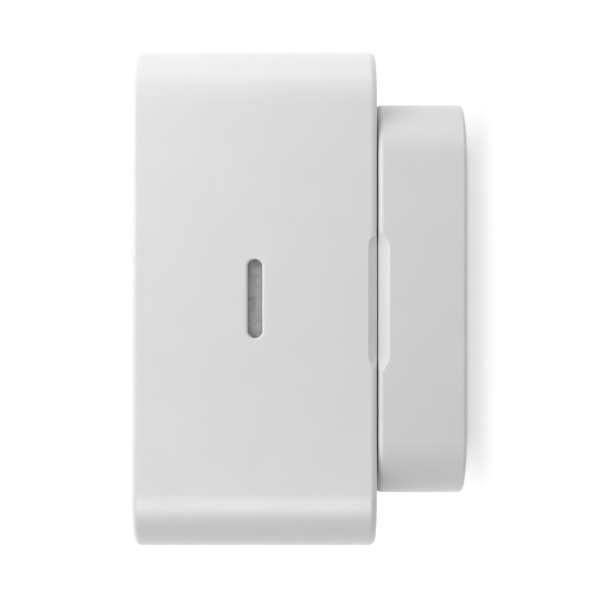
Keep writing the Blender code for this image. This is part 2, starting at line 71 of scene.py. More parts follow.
def box_mm(node):
    low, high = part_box(node)
    return low / MM, high / MM


# ---------------------------------------------------------------- places read from the frame

SHELL_LOW, SHELL_HIGH = box_mm("front_shell")
BASE_LOW, BASE_HIGH = box_mm("wall_base")
WIDTH = SHELL_HIGH.x - SHELL_LOW.x
BODY_HEIGHT = SHELL_HIGH.z - SHELL_LOW.z
BASE_HEIGHT = BASE_HIGH.z - BASE_LOW.z
FRONT_Y, REAR_Y = SHELL_LOW.y, SHELL_HIGH.y
BASE_FRONT_Y = REAR_Y + SEAM


def middle(node):
    low, high = box_mm(node)
    return (low + high) / 2


def centre(node):
    """(x, z) of the line along Y that a piece stands round."""
    point = middle(node)
    return point.x, point.z


# ---------------------------------------------------------------- mesh tools


def arc(place, radius, start, end, steps):
    """Points on an arc in the plane of a profile, from one angle in degrees to another."""
    turns = [math.radians(start + (end - start) * i / steps) for i in range(steps + 1)]
    return [(place[0] + radius * math.cos(t), place[1] + radius * math.sin(t)) for t in turns]


def circle(radius, steps=96):
    turns = [math.tau * i / steps for i in range(steps)]
    return [(radius * math.cos(t), radius * math.sin(t)) for t in turns]


def rounded_rect(width, height, corner, steps=CORNER_STEPS):
    points = []
    for quarter, (side, up) in enumerate(((1, 1), (-1, 1), (-1, -1), (1, -1))):
        place = (side * (width / 2 - corner), up * (height / 2 - corner))
        points += arc(place, corner, 90 * quarter, 90 * quarter + 90, steps)
    return points


def rect_outline(width, height, corner, steps=CORNER_STEPS):
    """An outline that a profile can grow or shrink while its corners stay round."""
    least = 0.02
    return lambda grow: rounded_rect(
        width + 2 * grow, height + 2 * grow, max(corner + grow, least), steps
    )


AXES = {
    "X": lambda u, v, depth: (depth, u, v),
    "Y": lambda u, v, depth: (u, depth, v),
    "Z": lambda u, v, depth: (u, v, depth),
}


def new_object(name, shape):
    mesh = bpy.data.meshes.new(name)
    shape.to_mesh(mesh)
    shape.free()
    obj = bpy.data.objects.new(name, mesh)
    bpy.context.scene.collection.objects.link(obj)
    return obj


def solid(name, outline, profile, place=(0, 0, 0), axis="Y", ring=False):
    """A closed solid: the outline is drawn at each (grow, depth) of the profile, and skinned.

    The ends are capped, or joined to each other in a ring.
    """
    shape = bmesh.new()
    loops = []
    for grow, depth in profile:
        points = [Vector(AXES[axis](u, v, depth)) + Vector(place) for u, v in outline(grow)]
        loops.append([shape.verts.new(point * MM) for point in points])
    pairs = list(zip(loops, loops[1:]))
    if ring:
        pairs.append((loops[-1], loops[0]))
    else:
        shape.faces.new(loops[0])
        shape.faces.new(loops[-1])
    for one, two in pairs:
        for i in range(len(one)):
            j = (i + 1) % len(one)
            shape.faces.new((one[i], two[i], two[j], one[j]))
    bmesh.ops.recalc_face_normals(shape, faces=shape.faces)
    return new_object(name, shape)


def turned(name, profile, place=(0, 0), ring=False, steps=96, axis="Y"):
    """A profile of (radius, depth) points turned about a line along Y through (x, z)."""
    spot = AXES[axis](place[0], place[1], 0)
    return solid(name, lambda radius: circle(radius, steps), profile, spot, axis, ring)


def slab(name, size, front, rear, place=(0, 0), corner=0.3, edge=0.0, steps=CORNER_STEPS, axis="Y"):
    """A rounded plate between two planes, with its rims rounded by edge."""
    outline = rect_outline(size[0], size[1], corner, steps)
    profile = [(0, front), (0, rear)]
    if edge:
        profile = arc((-edge, front + edge), edge, -90, 0, 4) + arc((-edge, rear - edge), edge, 0, 90, 4)
    return solid(name, outline, profile, AXES[axis](place[0], place[1], 0), axis)


def boolean(obj, operation, tools):
    """Cut or join with the tools, keep the result as the object's own mesh, and remove the tools."""
    for tool in tools:
        modifier = obj.modifiers.new(tool.name, "BOOLEAN")
        modifier.object = tool
        modifier.operation = operation
        modifier.solver = "EXACT"
    graph = bpy.context.evaluated_depsgraph_get()
    mesh = bpy.data.meshes.new_from_object(obj.evaluated_get(graph))
    obj.modifiers.clear()
    old = obj.data
    obj.data = mesh
    bpy.data.meshes.remove(old)
    for tool in tools:
        bpy.data.objects.remove(tool)
    return obj


def cut(obj, *tools):
    return boolean(obj, "DIFFERENCE", tools)


def join(obj, *tools):
    return boolean(obj, "UNION", tools)


def dress(obj, body, look, slot, *replaced, angle=32):
    """Shade a piece, give it its material, and put it on its body."""
    mesh = obj.data
    mesh.materials.clear()
    mesh.materials.append(look)
    mesh.shade_smooth()
    mesh.set_sharp_from_angle(angle=math.radians(angle))
    flat_first = obj.modifiers.new("flat_first", "WEIGHTED_NORMAL")
    flat_first.keep_sharp = True
    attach(obj, body)
    if replaced:
        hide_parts(*replaced)
    return obj


# ---------------------------------------------------------------- material tools


def shader_of(look):
    return look.node_tree.nodes["Principled BSDF"]


def new_look(name, colour, roughness, metallic=0.0, **sockets):
    """A material with its constants set. A socket's name has _ where it has a space."""
    look = bpy.data.materials.new(name)
    look.use_nodes = True
    shader = shader_of(look)
    shader.inputs["Base Color"].default_value = (*colour, 1.0)
    shader.inputs["Roughness"].default_value = roughness
    shader.inputs["Metallic"].default_value = metallic
    for socket, value in sockets.items():
        shader.inputs[socket.replace("_", " ")].default_value = value
    return look


def add_node(look, kind, settings=None, **inputs):
    node = look.node_tree.nodes.new("ShaderNode" + kind)
    for key, value in (settings or {}).items():
        setattr(node, key, value)
    for socket, value in inputs.items():
        node.inputs[socket.replace("_", " ")].default_value = value
    return node


def link(look, source, target):
    look.node_tree.links.new(source, target)


def object_coordinates(look, stretch=(1, 1, 1)):
    coordinates = add_node(look, "TexCoord")
    mapping = add_node(look, "Mapping", Scale=stretch)
    link(look, coordinates.outputs["Object"], mapping.inputs["Vector"])
    return mapping.outputs["Vector"]


def vary_colour(look, vector, scale, amount, detail=3):
    """Lighten and darken the base colour by a soft noise."""
    colour = shader_of(look).inputs["Base Color"].default_value[:3]
    noise = add_node(look, "TexNoise", Scale=scale, Detail=detail)
    ramp = add_node(look, "ValToRGB")
    first, second = ramp.color_ramp.elements
    first.position, second.position = 0.3, 0.7
    first.color = (*[c * (1 - amount) for c in colour], 1)
    second.color = (*[min(c * (1 + amount), 1) for c in colour], 1)
    link(look, vector, noise.inputs["Vector"])
    link(look, noise.outputs["Fac"], ramp.inputs["Fac"])
    link(look, ramp.outputs["Color"], shader_of(look).inputs["Base Color"])


def vary_roughness(look, vector, scale, low, high):
    """Let the roughness wander between two values."""
    noise = add_node(look, "TexNoise", Scale=scale, Detail=4)
    spread = add_node(look, "MapRange", From_Min=0.3, From_Max=0.7, To_Min=low, To_Max=high)
    link(look, vector, noise.inputs["Vector"])
    link(look, noise.outputs["Fac"], spread.inputs["Value"])
    link(look, spread.outputs["Result"], shader_of(look).inputs["Roughness"])


def add_bump(look, height, distance, strength=1.0):
    bump = add_node(look, "Bump", Strength=strength, Distance=distance)
    link(look, height, bump.inputs["Height"])
    link(look, bump.outputs["Normal"], shader_of(look).inputs["Normal"])
    return bump


def noise_height(look, vector, scale, detail=2):
    noise = add_node(look, "TexNoise", Scale=scale, Detail=detail)
    link(look, vector, noise.inputs["Vector"])
    return noise.outputs["Fac"]


def moulded_plastic(name, colour, roughness, grain=2600, depth=0.000004, mottle=0.012, **sockets):
    """Plastic from a finely eroded mould."""
    look = new_look(name, colour, roughness, **sockets)
    vector = object_coordinates(look)
    vary_colour(look, vector, scale=140, amount=mottle)
    vary_roughness(look, vector, scale=260, low=roughness - 0.03, high=roughness + 0.03)
    add_bump(look, noise_height(look, vector, grain), depth)
    return look


def polished(name, colour, roughness, smear=0.02, **sockets):
    """Plastic from a polished mould, slightly smeared by fingers."""
    look = new_look(name, colour, roughness, **sockets)
    vector = object_coordinates(look)
    vary_colour(look, vector, scale=90, amount=0.05)
    vary_roughness(look, vector, scale=120, low=roughness, high=roughness + smear)
    add_bump(look, noise_height(look, vector, scale=60), distance=0.000002)
    return look


def metal(name, colour, roughness, stretch=(1, 1, 1), scale=900, depth=0.000004, mottle=0.04):
    """Metal with fine marks, which run along one direction where the coordinates are stretched."""
    look = new_look(name, colour, roughness, metallic=1.0)
    vector = object_coordinates(look, stretch)
    vary_colour(look, vector, scale=scale / 3, amount=mottle)
    vary_roughness(look, vector, scale=scale / 2, low=roughness - 0.06, high=roughness + 0.08)
    add_bump(look, noise_height(look, vector, scale), depth)
    return look


def clear(name, colour, roughness=0.02, **sockets):
    look = new_look(name, colour, roughness, Transmission_Weight=1.0, IOR=1.5, **sockets)
    vector = object_coordinates(look)
    vary_roughness(look, vector, scale=100, low=roughness, high=roughness + 0.02)
    add_bump(look, noise_height(look, vector, scale=40), distance=0.000001)
    return look


def bands(look, vector, kind, direction, scale):
    """Even stripes across a direction, or rings round it."""
    wave = add_node(look, "TexWave", {"wave_type": kind}, Scale=scale)
    if kind == "BANDS":
        wave.bands_direction = direction
    else:
        wave.rings_direction = direction
    link(look, vector, wave.inputs["Vector"])
    return wave.outputs["Fac"]


def product(look, one, two):
    times = add_node(look, "Math", {"operation": "MULTIPLY"})
    link(look, one, times.inputs[0])
    link(look, two, times.inputs[1])
    return times.outputs["Value"]


def mix_colours(look, factor, one, two):
    """Set the base colour to one colour where the factor is low and to another where it's high."""
    ramp = add_node(look, "ValToRGB")
    first, second = ramp.color_ramp.elements
    first.position, second.position = 0.42, 0.58
    first.color, second.color = (*one, 1), (*two, 1)
    link(look, factor, ramp.inputs["Fac"])
    link(look, ramp.outputs["Color"], shader_of(look).inputs["Base Color"])


def woven(name, colour, dark, roughness, metallic, pitch, depth):
    """Threads crossing at right angles, seen in the plane of Y and Z."""
    look = new_look(name, colour, roughness, metallic)
    vector = object_coordinates(look)
    scale = 0.05 / (pitch * MM)
    warp, weft = bands(look, vector, "BANDS", "Y", scale), bands(look, vector, "BANDS", "Z", scale)
    threads = product(look, warp, weft)
    blotches = noise_height(look, vector, scale=420, detail=3)
    both = add_node(look, "Math", {"operation": "MULTIPLY_ADD"})
    both.inputs[1].default_value = 0.5
    link(look, threads, both.inputs[0])
    link(look, blotches, both.inputs[2])
    mix_colours(look, both.outputs["Value"], dark, colour)
    vary_roughness(look, vector, scale=400, low=roughness - 0.05, high=roughness + 0.1)
    add_bump(look, threads, depth)
    return look


def solder_mask():
    look = new_look("circuit_board", (0.012, 0.10, 0.055), 0.32, Coat_Weight=0.4)
    vector = object_coordinates(look)
    tracks = add_node(look, "TexBrick", Scale=260, Mortar_Size=0.012, Brick_Width=0.9, Row_Height=0.12)
    link(look, vector, tracks.inputs["Vector"])
    speckle = noise_height(look, vector, scale=700, detail=4)
    mix_colours(look, speckle, (0.010, 0.085, 0.046), (0.018, 0.13, 0.068))
    vary_roughness(look, vector, scale=300, low=0.26, high=0.4)
    add_bump(look, tracks.outputs["Fac"], distance=0.00002)
    return look


def flex_film():
    look = new_look("flex_film", (0.42, 0.18, 0.04), 0.3, Coat_Weight=0.3)
    vector = object_coordinates(look)
    lines = bands(look, vector, "BANDS", "X", scale=95)
    mix_colours(look, lines, (0.30, 0.11, 0.02), (0.50, 0.23, 0.06))
    vary_roughness(look, vector, scale=300, low=0.25, high=0.38)
    add_bump(look, lines, distance=0.00001)
    return look


def foam(name, colour):
    look = new_look(name, colour, 0.95)
    vector = object_coordinates(look)
    vary_colour(look, vector, scale=1500, amount=0.4)
    cells = add_node(look, "TexVoronoi", Scale=2400)
    link(look, vector, cells.inputs["Vector"])
    add_bump(look, cells.outputs["Distance"], distance=0.0001)
    return look


def fresnel_window():
    """The milky window of a motion sensor, with the rings of its lens."""
    translucent = {"Subsurface_Weight": 0.4, "Subsurface_Scale": 0.0008}
    look = new_look("milky_window", (0.5, 0.51, 0.52), 0.34, **translucent)
    vector = object_coordinates(look)
    vary_colour(look, vector, scale=200, amount=0.02)
    vary_roughness(look, vector, scale=300, low=0.3, high=0.4)
    add_bump(look, bands(look, vector, "RINGS", "Y", scale=90), distance=0.00003)
    return look


def shrink_wrap():
    """The printed film shrunk round a battery cell."""
    look = new_look("cell_wrap", (0.10, 0.22, 0.42), 0.3, 0.35, Coat_Weight=0.5)
    vector = object_coordinates(look, (1, 1, 6))
    vary_colour(look, vector, scale=60, amount=0.12)
    vary_roughness(look, vector, scale=150, low=0.24, high=0.42)
    add_bump(look, noise_height(look, vector, scale=45, detail=3), distance=0.00006)
    return look


# ---------------------------------------------------------------- looks

WHITE = (0.70, 0.686, 0.691)
WHITE_SHELL = moulded_plastic("housing_white", WHITE, 0.40, IOR=1.46)
WHITE_BASE = moulded_plastic("base_white", WHITE, 0.4, IOR=1.46)
WHITE_COVER = moulded_plastic("cover_white", (0.68, 0.668, 0.672), 0.5, depth=0.00001)
FASCIA_BLACK = polished("fascia_black", (0.012, 0.012, 0.014), 0.07, Coat_Weight=0.3)
BUTTON_BLACK = polished("button_black", (0.018, 0.018, 0.02), 0.16, 0.04)
BLACK_PLASTIC = moulded_plastic("black_plastic", (0.03, 0.03, 0.032), 0.48, mottle=0.1)
CHIP_BLACK = moulded_plastic("chip_black", (0.02, 0.02, 0.022), 0.6, depth=0.00001, mottle=0.1)
WINDOW_GLASS = clear("window_glass", (0.86, 0.88, 0.9))
LENS_GLASS = clear("lens_glass", (0.72, 0.66, 0.86), Thin_Film_Thickness=380.0, Thin_Film_IOR=1.38)
FILTER_GLASS = clear("filter_glass", (0.4, 0.7, 0.75), Thin_Film_Thickness=520.0, Thin_Film_IOR=1.7)
LED_CLEAR = clear("led_clear", (0.92, 0.93, 0.9), 0.08)
RING_DIFFUSER = moulded_plastic(
    "ring_diffuser", (0.56, 0.6, 0.64), 0.32, Subsurface_Weight=0.5, Subsurface_Scale=0.001
)
MILKY_WINDOW = fresnel_window()
SILICONE = moulded_plastic("silicone_grey", (0.4, 0.4, 0.4), 0.68, depth=0.00001, mottle=0.05)
FLAP_RUBBER = moulded_plastic("flap_rubber", (0.6, 0.6, 0.59), 0.72, depth=0.00001, mottle=0.04)
RESET_GREY = moulded_plastic("reset_grey", (0.25, 0.25, 0.26), 0.5)
GASKET_FOAM = foam("gasket_foam", (0.06, 0.06, 0.06))
CIRCUIT_BOARD = solder_mask()
FLEX_FILM = flex_film()
CELL_WRAP = shrink_wrap()
SOUND_MESH = woven(
    "sound_mesh", (0.47, 0.46, 0.445), dark=(0.36, 0.352, 0.34), roughness=0.62, metallic=0.2, pitch=0.28,
    depth=0.00005,
)
CONE_FILM = moulded_plastic("cone_film", (0.05, 0.05, 0.05), 0.7, grain=900, depth=0.00003)
SPEAKER_STEEL = metal("speaker_steel", (0.09, 0.09, 0.095), 0.45)
MAGNET_NICKEL = metal("magnet_nickel", (0.62, 0.61, 0.58), 0.2)
TIN_CAN = metal("tin_can", (0.62, 0.62, 0.6), 0.32, (1, 1, 8))
SCREW_STEEL = metal("screw_steel", (0.50, 0.50, 0.49), 0.3)
SPRING_STEEL = metal("spring_steel", (0.62, 0.62, 0.63), 0.24, (1, 1, 0.1))
CONTACT_GOLD = metal("contact_gold", (0.83, 0.62, 0.25), 0.22)
TERMINAL_BRASS = metal("terminal_brass", (0.70, 0.55, 0.28), 0.3)


# ---------------------------------------------------------------- white mouldings

BODY_CORNER, BASE_CORNER = 9.5, 9.2
FRONT_FILLET, REAR_FILLET = 1.0, 1.1
BASE_FRONT_FILLET, BASE_REAR_FILLET = 0.9, 0.6
LIP_FILLET, INNER_FILLET = 0.25, 0.8
WALL, FRONT_WALL = 2.2, 2.6
FLOOR_WALL, FLOOR_FILLET = 2.5, 0.6
NOTCH_LENGTH, NOTCH_FULL = 24.0, 17.0
NOTCH_R, NOTCH_Z = 6.0, -0.4
# The bar that cuts each side of the notch: its depth, and how far it lies behind the seam.
SHELL_NOTCH = (1.65, 2.52)
BASE_NOTCH = (0.95, -1.42)
SLOT_SIZE, POCKET_SIZE = (2.3, 12.4), (4.0, 14.2)
POCKET_OUTER_X, POCKET_INNER_X = 28.7, 27.4
RECESS_SIZE, RECESS_CORNER, RECESS_DEPTH = (48.6, 69.6), 6.3, 1.6
SCREW_COLUMN_R, PILOT_R, INFRARED_R = 3.6, 1.4, 2.0
WALL_SCREW_Z = 24.4
WALL_SCREW_R, WALL_HEAD_R = 2.1, 3.7
LIP_Y = REAR_Y + 0.12
INNER_FRONT_Y = FRONT_Y + FRONT_WALL
CAMERA = centre("lens_bezel")
MOTION = centre("pir_lens")
BUTTON = centre("button_cap")
COVER_SCREW = centre("cover_screw_2")
PORT = centre("usb_port")
RESET = centre("reset_button")
INFRARED_X = centre("ir_led_right")[0]
LIGHT_SENSOR = centre("light_sensor")
PIN_X, PIN_Z = centre("pogo_pin_right")
TERMINAL = centre("terminal_screw_right")


def notch_cutter(name, side, notch):
    """A thick round bar beside the seam, so that it cuts one side of the fingernail notch.

    The bar rises out of the side face at both ends.
    """
    deepest, behind = notch
    half, full = NOTCH_LENGTH / 2, NOTCH_FULL / 2
    depths = [(0.01, half)]
    for turn in range(15, 91, 15):
        depths.append((deepest * math.sin(math.radians(turn)), half - (half - full) * turn / 90))
    profile = [(depth, -z) for depth, z in depths] + [(depth, z) for depth, z in reversed(depths)]

    def section(depth):
        lift = side * (NOTCH_R - depth)
        return [(x + lift, y) for x, y in circle(NOTCH_R, 144)]

    return solid(name, section, profile, (side * WIDTH / 2, BASE_FRONT_Y + behind, NOTCH_Z), "Z")


def flared_slot(name, side, place, size, lip=0.45):
    """The cutter of a sound slot, with a rounded lip at the outer face."""
    face = WIDTH / 2
    profile = [(0, face - 4)]
    for turn in [math.radians(t) for t in range(0, 81, 10)]:
        profile.append((lip * (1 - math.cos(turn)), face - lip + lip * math.sin(turn)))
    profile.append((profile[-1][0] + 0.3, face + 0.05))
    outline = rect_outline(size[0], size[1], size[0] / 2 - 0.01)
    return solid(name, outline, [(grow, side * x) for grow, x in profile], (0, *place), "X")


def bore(name, radius, front, rear, place, steps=48):
    return turned(name, [(radius, front), (radius, rear)], place, steps=steps)


def countersunk(name, radius, face, rear, place, rim=0.15, steps=64):
    """The cutter of a hole from a front face, with a small chamfer."""
    profile = [(radius + rim + 1, face - 1), (radius + rim, face), (radius, face + rim), (radius, rear)]
    return turned(name, profile, place, steps=steps)


def front_openings(face, rear, rim):
    """Cutters for what shows through the front of the shell or of the fascia."""
    window = rect_outline(14.6, 6.6, 3.28)
    flare = [(rim + 1, face - 1), (rim, face), (0, face + rim), (0, rear)]
    return [
        countersunk("camera_hole", 10.3, face, rear, CAMERA, rim, 96),
        countersunk("button_hole", 15.5, face, rear, BUTTON, rim, 128),
        solid("motion_hole", window, flare, (MOTION[0], 0, MOTION[1])),
        countersunk("microphone_hole", 0.8, face, rear, (-LIGHT_SENSOR[0], LIGHT_SENSOR[1]), rim, 24),
    ]


def make_shell():
    outline = rect_outline(WIDTH, BODY_HEIGHT, BODY_CORNER)
    profile = arc((-FRONT_FILLET, FRONT_Y + FRONT_FILLET), FRONT_FILLET, -90, 0, 10)
    profile += arc((-REAR_FILLET, LIP_Y - REAR_FILLET), REAR_FILLET, 0, 90, 8)
    profile += arc((-WALL + LIP_FILLET, LIP_Y - LIP_FILLET), LIP_FILLET, 90, 180, 4)
    profile += arc((-WALL - INNER_FILLET, INNER_FRONT_Y + INNER_FILLET), INNER_FILLET, 0, -90, 4)
    shell = solid("front_shell_visual", outline, profile)
    places = [(x * COVER_SCREW[0], z * COVER_SCREW[1]) for x, z in CORNERS]
    seat_y = box_mm("back_cover")[0].y - SEAM
    join(shell, *[bore("screw_column", SCREW_COLUMN_R, INNER_FRONT_Y - 1, seat_y, place) for place in places])
    recess_y = FRONT_Y + RECESS_DEPTH
    recess = [(0.25, FRONT_Y - 0.05), (0.2, FRONT_Y), (0, FRONT_Y + 0.2), (0, recess_y)]
    cutters = [solid("recess", rect_outline(*RECESS_SIZE, RECESS_CORNER), recess)]
    cutters += front_openings(recess_y, INNER_FRONT_Y + 3, 0)
    cutters += [bore("pilot_hole", PILOT_R, -27, -15, place, 24) for place in places]
    cutters.append(bore("light_hole", PILOT_R, FRONT_Y, INNER_FRONT_Y + 2, LIGHT_SENSOR, 24))
    slot_y = middle("sound_mesh_left").y
    pocket = rect_outline(*POCKET_SIZE, POCKET_SIZE[0] / 2 - 0.01)
    for side, sign in SIDES:
        spot = (sign * INFRARED_X, CAMERA[1])
        cutters.append(bore("infrared_hole", INFRARED_R, FRONT_Y, INNER_FRONT_Y + 2, spot, 32))
        cutters.append(flared_slot("slot_" + side, sign, (slot_y, 0), SLOT_SIZE))
        depths = [(0, sign * POCKET_OUTER_X), (0, sign * POCKET_INNER_X)]
        cutters.append(solid("pocket_" + side, pocket, depths, (0, slot_y, 0), "X"))
        cutters.append(notch_cutter("notch_" + side, sign, SHELL_NOTCH))
    cut(shell, *cutters)
    dress(shell, "housing", WHITE_SHELL, "housing_white", "front_shell")


COVER_CORNER, COVER_EDGE, COVER_RIM, COVER_STEP = 7.0, 0.3, 1.6, 0.9
FLAP_Z, SCOOP_Z = -34.3, -31.2


def make_cover():
    """The rear cover, with a stepped edge, and what is sunk in it."""
    low, high = box_mm("back_cover")
    rear, front = high.y, low.y
    step_y = rear - COVER_RIM
    size = (high.x - low.x, high.z - low.z)
    profile = arc((-COVER_EDGE, rear - COVER_EDGE), COVER_EDGE, 90, 0, 4)
    profile += [(0, step_y), (-COVER_STEP, step_y), (-COVER_STEP, front + 0.4), (-1.3, front)]
    cover = solid("back_cover_visual", rect_outline(*size, COVER_CORNER), profile)
    places = [(x * COVER_SCREW[0], z * COVER_SCREW[1]) for x, z in CORNERS]
    chamfer = [(1.3, rear + 1), (0.3, rear), (0, rear - 0.3)]
    cutters = [
        solid("boss_pocket", rect_outline(43, 41, 6.5), chamfer + [(0, -17.5)]),
        slab("spring_groove", (45.2, 13), -17.1, -15.5, (0, 0), 0.6),
        solid("port_opening", rect_outline(9.6, 3.6, 1.4), [(0, -20), (0, -10)], (PORT[0], 0, PORT[1])),
        solid("flap_recess", rect_outline(13.2, 5.6, 0.9), chamfer + [(0, -15.5)], (0, 0, FLAP_Z)),
        solid("nail_scoop", rect_outline(4.6, 2.4, 1.1), chamfer + [(-0.6, -15.1)], (0, 0, SCOOP_Z)),
        turned("reset_opening", [(2.6, -13.9), (2.3, -14.4), (1.6, -14.9), (1.6, -20)], RESET, steps=48),
    ]
    for place in places:
        cutters.append(bore("screw_hole", PILOT_R, -20, -10, place, 24))
        sunk = [(3.3, -13.9), (2.8, rear), (2.5, rear - 0.3), (2.5, -15.9)]
        cutters.append(turned("counterbore", sunk, place, steps=48))
    for sign in (-1, 1):
        cutters.append(slab("pad_hole", (3.6, 3.6), -20, -16, (sign * PIN_X, PIN_Z), 0.4))
    cut(cover, *cutters)
    dress(cover, "housing", WHITE_COVER, "cover_white", "back_cover")


def make_base():
    """The wall base with its raised boss and screw columns."""
    outline = rect_outline(WIDTH, BASE_HEIGHT, BASE_CORNER)
    floor_y = BASE_FRONT_Y + FLOOR_WALL
    profile = arc((-BASE_FRONT_FILLET, BASE_FRONT_Y + BASE_FRONT_FILLET), BASE_FRONT_FILLET, -90, 0, 8)
    profile += arc((-BASE_REAR_FILLET, -BASE_REAR_FILLET), BASE_REAR_FILLET, 0, 90, 6)
    profile += [(-1.4, 0), (-1.4, -1.5), (-2.3, -1.5)]
    profile += arc((-2.3 - FLOOR_FILLET, floor_y + FLOOR_FILLET), FLOOR_FILLET, 0, -90, 4)
    base = solid("wall_base_visual", outline, profile)
    boss_y = BASE_LOW.y
    columns = [(0, sign * WALL_SCREW_Z) for sign in (1, -1)]
    join(
        base,
        slab("boss", (42, 40), boss_y, BASE_FRONT_Y + 1.2, (0, 0), 6.0, 0.6),
        bore("centre_pillar", 6.0, floor_y - 0.5, 0, (0, 0)),
        *[bore("wall_screw_column", 3.9, floor_y - 0.5, 0, place) for place in columns],
        *[slab("rib", (0.9, 19.0), floor_y - 0.5, -7.0, (sign * 12.5, 0), 0.4) for sign in (-1, 1)],
    )
    seat_y = BASE_FRONT_Y + 2.0
    cutters = [slab("pin_opening", (12.6, 5.6), -20, -8, (0, PIN_Z), 0.5)]
    for place in columns:
        cutters.append(bore("screw_hole", WALL_SCREW_R, -20, 5, place, 40))
        sunk = [(WALL_HEAD_R + 1.25, boss_y - 1), (WALL_HEAD_R + 0.25, boss_y)]
        sunk += [(WALL_HEAD_R, boss_y + 0.25), (WALL_HEAD_R, seat_y)]
        cutters.append(turned("screw_seat", sunk, place, steps=64))
    for side, sign in SIDES:
        cutters.append(slab("spring_pocket", (4.0, 23.2), -20, boss_y + 1.7, (sign * 20.2, 0), 0.5))
        cutters.append(notch_cutter("base_notch_" + side, sign, BASE_NOTCH))
    cut(base, *cutters)
    dress(base, "base", WHITE_BASE, "base_white", "wall_base")


def make_gasket():
    low, high = box_mm("wall_gasket")
    outline = rect_outline(high.x - low.x, high.z - low.z, 7.5)
    profile = [(-0.2, low.y), (0, low.y + 0.2), (0, high.y)]
    profile += [(-0.9, high.y), (-0.9, low.y + 0.2), (-0.7, low.y)]
    gasket = solid("wall_gasket_visual", outline, profile, ring=True)
    dress(gasket, "base", GASKET_FOAM, "gasket_foam", "wall_gasket")


# ---------------------------------------------------------------- front

FLANGE_Y = -50.0  # the front of the flanges that hold pieces behind the front wall
LEDGE_Y = -51.2  # the ledge behind the camera window, and the underside of the button's face


def make_fascia():
    low, high = box_mm("front_fascia")
    edge = 0.35
    profile = arc((-edge, low.y + edge), edge, -90, 0, 5) + [(0, high.y)]
    fascia = solid("front_fascia_visual", rect_outline(high.x - low.x, high.z - low.z, 6), profile)
    cut(fascia, *front_openings(low.y, high.y + 2, 0.18))
    dress(fascia, "housing", FASCIA_BLACK, "fascia_black", "front_fascia")


def make_motion_window():
    low, high = box_mm("pir_lens")
    edge = 0.35
    place = (MOTION[0], 0, MOTION[1])
    profile = arc((-edge, low.y + edge), edge, -90, 0, 5)
    profile += [(0, FLANGE_Y), (1.0, FLANGE_Y), (1.0, high.y), (-0.8, high.y), (-0.8, low.y + 1.0)]
    window = solid("pir_lens_visual", rect_outline(14, 6, 2.99), profile, place)
    dress(window, "housing", MILKY_WINDOW, "milky_window", "pir_lens")


def make_bezel():
    """The ring round the camera window, which steps down to the glass."""
    low, high = box_mm("lens_bezel")
    profile = arc((9.7, low.y + 0.3), 0.3, -90, 0, 5)
    profile += [(10.0, FLANGE_Y), (11.2, FLANGE_Y), (11.2, high.y)]
    profile += [(6.9, high.y), (6.9, LEDGE_Y), (7.8, LEDGE_Y), (7.8, -52.15)]
    profile += [(8.1, -52.2), (8.1, -52.35), (8.5, -52.4), (8.5, -52.55), (8.9, -52.6), (9.0, low.y)]
    bezel = turned("lens_bezel_visual", profile, CAMERA, ring=True, steps=128)
    dress(bezel, "housing", BLACK_PLASTIC, "black_plastic", "lens_bezel", angle=25)


def make_window():
    """The camera's cover glass, and the black mask behind its edge."""
    low, high = box_mm("camera_window")
    glass = [(TIP, low.y), (7.25, low.y), (7.5, low.y + 0.25), (7.5, high.y), (TIP, high.y)]
    window = turned("camera_window_visual", glass, CAMERA, steps=128)
    dress(window, "housing", WINDOW_GLASS, "window_glass", "camera_window")
    ring = [(7.55, -51.46), (7.55, -51.28), (5.7, -51.28), (5.7, -51.46)]
    mask = turned("window_mask", ring, CAMERA, ring=True, steps=96)
    dress(mask, "housing", CHIP_BLACK, "black_plastic")


def make_barrel():
    """The lens barrel, with a thread at the rear and baffle steps in its mouth."""
    low, high = box_mm("lens_barrel")
    root, crest, pitch, threads = 4.38, 4.5, 0.26, 11
    profile = arc((5.9, low.y + 0.5), 0.5, -90, 0, 5) + [(6.4, -47.0), (crest, -46.6)]
    for i in range(threads):
        y = -46.4 + pitch * i
        profile += [(crest, y), (root, y + pitch / 2)]
    profile += [(crest, high.y), (3.2, high.y), (3.2, -48.9), (4.8, -48.9), (4.8, -49.95)]
    for i in range(3):
        radius, y = 4.95 + 0.2 * i, -49.95 - 0.22 * i
        profile += [(radius, y), (radius, y - 0.22)]
    profile.append((5.6, low.y))
    barrel = turned("lens_barrel_visual", profile, CAMERA, ring=True, steps=96)
    dress(barrel, "housing", BLACK_PLASTIC, "black_plastic", "lens_barrel", angle=25)


def make_lens():
    """The front lens with its domed face, and the iris behind it."""
    low, high = box_mm("lens_element")
    radius, sag, rings = 4.5, 1.1, 16
    dome = [(max(radius * i / rings, TIP), low.y + sag * (i / rings) ** 2) for i in range(rings + 1)]
    lens = turned("lens_element_visual", dome + [(radius, high.y), (TIP, high.y)], CAMERA, steps=96)
    dress(lens, "housing", LENS_GLASS, "lens_glass", "lens_element")
    iris = [(3.15, -48.7), (3.15, -48.35), (1.3, -48.35), (1.3, -48.5), (1.9, -48.7)]
    dress(turned("lens_iris", iris, CAMERA, ring=True, steps=64), "housing", CHIP_BLACK, "black_plastic")


def make_light_ring():
    low, high = box_mm("light_ring")
    profile = arc((14.9, low.y + 0.3), 0.3, -90, 0, 5)
    profile += [(15.2, FLANGE_Y), (16.3, FLANGE_Y), (16.3, high.y), (13.4, high.y)]
    profile += arc((13.65, low.y + 0.25), 0.25, 180, 270, 4)
    ring = turned("light_ring_visual", profile, BUTTON, ring=True, steps=144)
    dress(ring, "housing", RING_DIFFUSER, "ring_diffuser", "light_ring")


